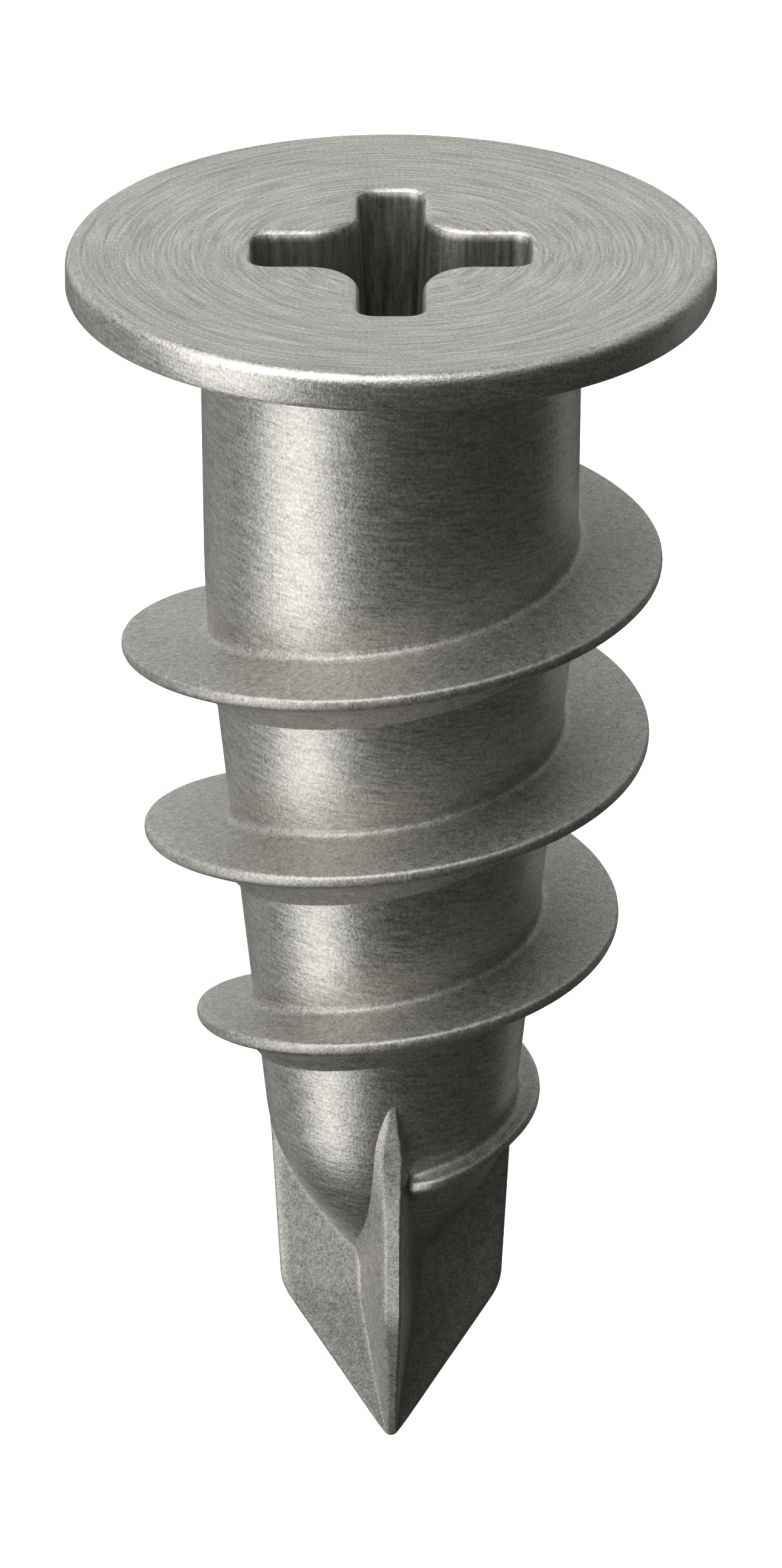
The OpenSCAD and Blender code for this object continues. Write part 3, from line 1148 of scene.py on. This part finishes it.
@dataclass
class DrillBlades:
    """Four drafted blades that cross on the axis and run down to the point."""

    form: AnchorForm
    shoulder_z: float = -27.55
    shoulder_radius: float = 2.72
    shoulder_soft: float = 0.22
    edge: float = 0.23
    edge_at_point: float = 0.10
    draft: float = 0.25
    valley_fillet: float = 0.12
    point_soft: float = 0.22
    top_drop: float = 0.55
    top_share: float = 0.35
    widening_length: float = 3.0
    dip: float = 0.03
    cross: BladePair = field(init=False)
    facing: BladePair = field(init=False)

    def __post_init__(self) -> None:
        """Set the side pair, which starts at the nose, and the facing pair, which runs up as ribs."""
        self.cross = BladePair(
            top_z=-23.2, top_radius=2.97, fade=0.9, spear=1.0, widening=0.0, root_fillet=0.10,
            relief=0.0, trailing_round=0.30, leading_round=0.30,
        )
        self.facing = BladePair(
            top_z=-22.6, top_radius=3.22, fade=1.5, spear=1.9, widening=0.07, root_fillet=0.42,
            relief=0.34, trailing_round=0.55, leading_round=0.12,
        )

    def outer_radius(self, pair: BladePair, z: float) -> float:
        """Give the distance of a blade's outer edge from the axis.

        Args:
            pair: The pair that the blade belongs to.
            z: Height.

        Returns:
            Radius: a straight edge, a soft shoulder, then a slant to the rounded point.
        """
        run = (pair.top_radius - self.shoulder_radius) / (pair.top_z - self.shoulder_z)
        straight = self.shoulder_radius + run * (z - self.shoulder_z)
        if z > pair.top_z:
            straight -= self.top_drop * ((z - pair.top_z) / pair.fade) ** 2
        h = max(z - self.form.point_z, 0.0)
        reach = self.shoulder_z - self.form.point_z
        slant = self.shoulder_radius * math.sqrt(
            (h * h + 2 * self.point_soft * h) / (reach * reach + 2 * self.point_soft * reach)
        )
        return smooth_min(straight, slant, self.shoulder_soft) if h > 0.5 else slant

    def edge_half(self, pair: BladePair, z: float) -> float:
        """Give half the width of a blade's outer face, which narrows to the point and to its top.

        Args:
            pair: The pair that the blade belongs to.
            z: Height.

        Returns:
            Half the width.
        """
        down = (self.shoulder_z - z) / (self.shoulder_z - self.form.point_z)
        half = self.edge + (self.edge_at_point - self.edge) * min(max(down, 0.0), 1.0)
        half += pair.widening * ease((z - pair.top_z) / self.widening_length + 1)
        full = ease((pair.top_z + pair.fade - z) / pair.spear)
        return half * (self.top_share + (1 - self.top_share) * full)

    def surface(self, pair: BladePair, other: BladePair, z: float, angle: float) -> float:
        """Give the distance from the axis to the metal beside one blade.

        Args:
            pair: The pair that the blade belongs to.
            other: The pair of its neighbours.
            z: Height.
            angle: Angle from the blade's middle plane, up to an eighth of a turn either way.

        Returns:
            Distance from the axis, with the edges rounded and the valleys filleted.
        """
        radius = self.outer_radius(pair, z)
        edge = min(self.edge_half(pair, z), radius * 0.8)
        far = self.outer_radius(other, z)
        far_edge = min(self.edge_half(other, z), far * 0.8)
        cos, sin = math.cos(angle), abs(math.sin(angle))
        face = radius / (cos - pair.relief * (math.sin(angle) - edge / radius)) if radius > 0.02 else radius
        flank = (edge + self.draft * radius) / (sin + self.draft * cos)
        neighbour = (far_edge + self.draft * far) / (cos + self.draft * sin)
        small = min(1.0, radius / 1.2)
        rounding = pair.leading_round if angle > 0 else pair.trailing_round
        blade = smooth_min(face, flank, rounding * small)
        return smooth_max(blade, neighbour, self.valley_fillet * small)

    def build(self, name: str, angle: float, pair: BladePair, other: BladePair) -> bpy.types.Object:
        """Shape one blade from a sheet that wraps round its outer edge and closes on the axis.

        Args:
            name: The piece's name.
            angle: Angle that the blade points along, in radians.
            pair: The pair that the blade belongs to.
            other: The pair of its neighbours.

        Returns:
            The blade, dressed.
        """
        heights = self._heights(pair)
        shares = self._shares()
        piece = sheet_of_vertices(name, len(heights), len(shares) + 2)
        vertices = piece.data.vertices
        index = 0
        for z in heights:
            radius = self.outer_radius(pair, z)
            half = math.atan2(min(self.edge_half(pair, z), radius * 0.8), max(radius, 0.01))
            vertices[index].co = Vector((0, 0, z)) * MM
            index += 1
            for share in shares:
                turn = self._angle_of(share, half)
                reach = self._skin(pair, other, z, turn)
                way = Vector((math.cos(angle + turn) * reach, math.sin(angle + turn) * reach, z))
                vertices[index].co = way * MM
                index += 1
            vertices[index].co = Vector((0, 0, z)) * MM
            index += 1
        piece.data.update()
        with editing(piece):
            bpy.ops.mesh.select_all(action="SELECT")
            bpy.ops.mesh.remove_doubles(threshold=WELD)
            bpy.ops.mesh.select_mode(type="EDGE")
            bpy.ops.mesh.select_all(action="DESELECT")
            bpy.ops.mesh.select_non_manifold()
            bpy.ops.mesh.edge_face_add()
        weld_and_face_out(piece)
        dress(piece, GRAINED_ZINC)
        smooth(piece, 50.0)
        return piece

    def _skin(self, pair: BladePair, other: BladePair, z: float, turn: float) -> float:
        """Blend a blade into the core and nose, and dip under their surface past the fillet.

        Args:
            pair: The pair that the blade belongs to.
            other: The pair of its neighbours.
            z: Height.
            turn: Angle from the blade's middle plane.

        Returns:
            Distance from the axis to the blade's mesh.
        """
        blade = self.surface(pair, other, z, turn)
        core = self.form.core_radius(z)
        if core <= 0:
            return blade
        fillet = pair.root_fillet
        blended = smooth_max(blade, core, fillet)
        return blended - self.dip * ease((core - blade) / fillet)

    def _heights(self, pair: BladePair) -> list[float]:
        """List the heights of a blade's rows, closer together at its top, shoulder and point.

        Args:
            pair: The pair that the blade belongs to.

        Returns:
            The heights, from the top down.
        """
        top, bottom = pair.top_z + pair.fade, self.form.point_z
        heights = []
        z = top
        while z > bottom + 0.004:
            heights.append(z)
            near_shoulder = abs(z - self.shoulder_z)
            near_point = z - bottom
            z -= min(0.10, 0.03 + near_shoulder * 0.08, 0.006 + near_point * 0.12)
        return heights + [bottom]

    def _shares(self) -> list[float]:
        """List places across a blade: its face is within a quarter of the way, its flanks beyond.

        Returns:
            The places, from -1 to 1.
        """
        face = [i / 8 * 0.25 for i in range(9)]
        flank = [0.25 + 0.75 * (i / 34) ** 1.25 for i in range(1, 35)]
        side = face + flank
        return [-s for s in reversed(side[1:])] + side

    @staticmethod
    def _angle_of(share: float, half: float) -> float:
        """Turn a place across a blade into an angle from its middle plane.

        Args:
            share: Place from -1 to 1.
            half: Angle from the middle plane to the outer face's edge.

        Returns:
            The angle in radians, signed as the place is.
        """
        side = abs(share)
        if side < 0.25:
            angle = half * side / 0.25 * 1.15
        else:
            out = (side - 0.25) / 0.75
            angle = half * 1.15 + (math.pi / 4 - half * 1.15) * out ** 1.3
        return math.copysign(angle, share)


# ---------------------------------------------------------------- studio


@dataclass
class Softbox:
    """One soft light: where it stands around the anchor, its size and its brightness."""

    name: str
    azimuth: float
    elevation: float
    width: float
    height: float
    radiance: float
    distance: float = 0.9


@dataclass
class Studio:
    """Pale floor, soft lights and the camera."""

    middle_z: float
    camera_distance: float = 0.6
    camera_elevation: float = 23.45
    focal_ratio: float = 15.566
    floor_z: float = -0.062

    def build(self) -> None:
        """Set up the floor, the lights, the surroundings and the camera."""
        self._colours()
        self._camera()
        self._floor()
        self._surroundings()
        for softbox in (
            Softbox("key_left", azimuth=-59, elevation=-4, width=0.62, height=1.7, radiance=2.15),
            Softbox("key_high", azimuth=-52, elevation=60, width=1.0, height=0.95, radiance=2.6),
            Softbox("top", azimuth=180, elevation=82, width=1.5, height=1.0, radiance=0.62),
            Softbox("side_left", azimuth=-128, elevation=-6, width=0.8, height=1.5, radiance=0.30),
            Softbox("back_low", azimuth=-176, elevation=19, width=1.5, height=0.80, radiance=0.70),
            Softbox("rim_right", azimuth=134, elevation=0, width=0.36, height=1.2, radiance=0.30),
            Softbox("fill_front", azimuth=10, elevation=30, width=0.8, height=0.6, radiance=0.10),
        ):
            self._light(softbox)

    @staticmethod
    def _colours() -> None:
        """Show colours as they are, with no film curve, so that the background stays white."""
        settings = bpy.context.scene.view_settings
        settings.view_transform = "Standard"
        settings.look = "None"

    def _camera(self) -> None:
        """Place a long lens in front of the anchor, looking a little down at its middle."""
        tilt = math.radians(self.camera_elevation)
        data = bpy.data.cameras.new("camera")
        data.sensor_width = 36.0
        data.lens = 36.0 * self.focal_ratio
        data.clip_start = 0.01
        data.clip_end = 20.0
        camera = bpy.data.objects.new("camera", data)
        bpy.context.scene.collection.objects.link(camera)
        camera.location = (
            0, -self.camera_distance * math.cos(tilt), self.middle_z + self.camera_distance * math.sin(tilt)
        )
        camera.rotation_euler = (math.pi / 2 - tilt, 0, 0)
        bpy.context.scene.camera = camera

    def _floor(self) -> None:
        """Lay a wide pale floor well below the point. Only the camera sees it."""
        deselect_all()
        bpy.ops.mesh.primitive_plane_add(size=8, location=(0, 0, self.floor_z))
        floor = name_active("floor")
        pale = bpy.data.materials.new("painted_floor")
        pale.use_nodes = True
        tree = pale.node_tree
        tree.nodes.clear()
        shader = add_node(
            tree, "ShaderNodeBsdfPrincipled",
            {"Base Color": linear("#FAFAFA"), "Roughness": 0.9, "Emission Color": linear("#FFFFFF"),
             "Emission Strength": 0.8},
        )
        add_node(tree, "ShaderNodeOutputMaterial", links={"Surface": shader.outputs["BSDF"]})
        floor.data.materials.append(pale)
        floor.visible_glossy = False
        floor.visible_diffuse = False
        floor.visible_shadow = False

    @staticmethod
    def _surroundings() -> None:
        """Fill the rest of the studio with dim light, and show it pale to the camera."""
        world = bpy.data.worlds.new("studio")
        bpy.context.scene.world = world
        world.use_nodes = True
        tree = world.node_tree
        tree.nodes.clear()
        ray = add_node(tree, "ShaderNodeLightPath").outputs["Is Camera Ray"]
        dim = add_node(tree, "ShaderNodeBackground", {"Color": linear("#FFFCF2"), "Strength": 0.054})
        pale = add_node(tree, "ShaderNodeBackground", {"Color": linear("#FFFFFF"), "Strength": 1.0})
        both = add_node(
            tree, "ShaderNodeMixShader", links={0: ray, 1: dim.outputs[0], 2: pale.outputs[0]}
        )
        add_node(tree, "ShaderNodeOutputWorld", links={"Surface": both.outputs[0]})

    def _light(self, softbox: Softbox) -> None:
        """Hang one softbox, facing the anchor's middle.

        Args:
            softbox: Its place, size and brightness.
        """
        data = bpy.data.lights.new(softbox.name, "AREA")
        data.shape = "RECTANGLE"
        data.size, data.size_y = softbox.width, softbox.height
        data.energy = softbox.radiance * math.pi * softbox.width * softbox.height
        light = bpy.data.objects.new(softbox.name, data)
        bpy.context.scene.collection.objects.link(light)
        around, up = math.radians(softbox.azimuth), math.radians(softbox.elevation)
        way = Vector((math.sin(around) * math.cos(up), -math.cos(around) * math.cos(up), math.sin(up)))
        target = Vector((0, 0, self.middle_z))
        light.location = target + way * softbox.distance
        light.rotation_euler = way.to_track_quat("Z", "Y").to_euler()
        light.visible_camera = False


# ---------------------------------------------------------------- assembly


def hand_over(piece: bpy.types.Object, node: str) -> None:
    """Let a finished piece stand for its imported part, and report it.

    Args:
        piece: The finished piece.
        node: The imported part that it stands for.
    """
    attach(piece, "root")
    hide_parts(node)
    log.info("%s stands for %s: %d faces", piece.name, node, len(piece.data.polygons))


def main() -> None:
    """Build the studio and every region of the casting."""
    logging.basicConfig(level=logging.INFO, format="%(name)s: %(message)s")
    form = AnchorForm.from_frame()
    Studio(middle_z=-14.11 * MM).build()
    cutter = DriveRecess(floor=form.recess_floor).cutter()
    hand_over(HeadFlange(form).build(cutter), "head_flange")
    hand_over(DriveSleeve(form).build(cutter), "drive_sleeve")
    bpy.data.objects.remove(cutter)
    body = TurnedBody(form)
    hand_over(body.build_core(), "screw_core")
    hand_over(body.build_nose(), "nose_cone")
    hand_over(ThreadFlight(form).build(), "thread_flight")
    blades = DrillBlades(form)
    for side, angle, pair, other in (
        ("right", 0.0, blades.cross, blades.facing),
        ("front", -math.pi / 2, blades.facing, blades.cross),
        ("left", math.pi, blades.cross, blades.facing),
        ("back", math.pi / 2, blades.facing, blades.cross),
    ):
        hand_over(blades.build(f"drill_blade_{side}", angle, pair, other), f"blade_{side}")
    deselect_all()


if __name__ == "__main__":
    main()
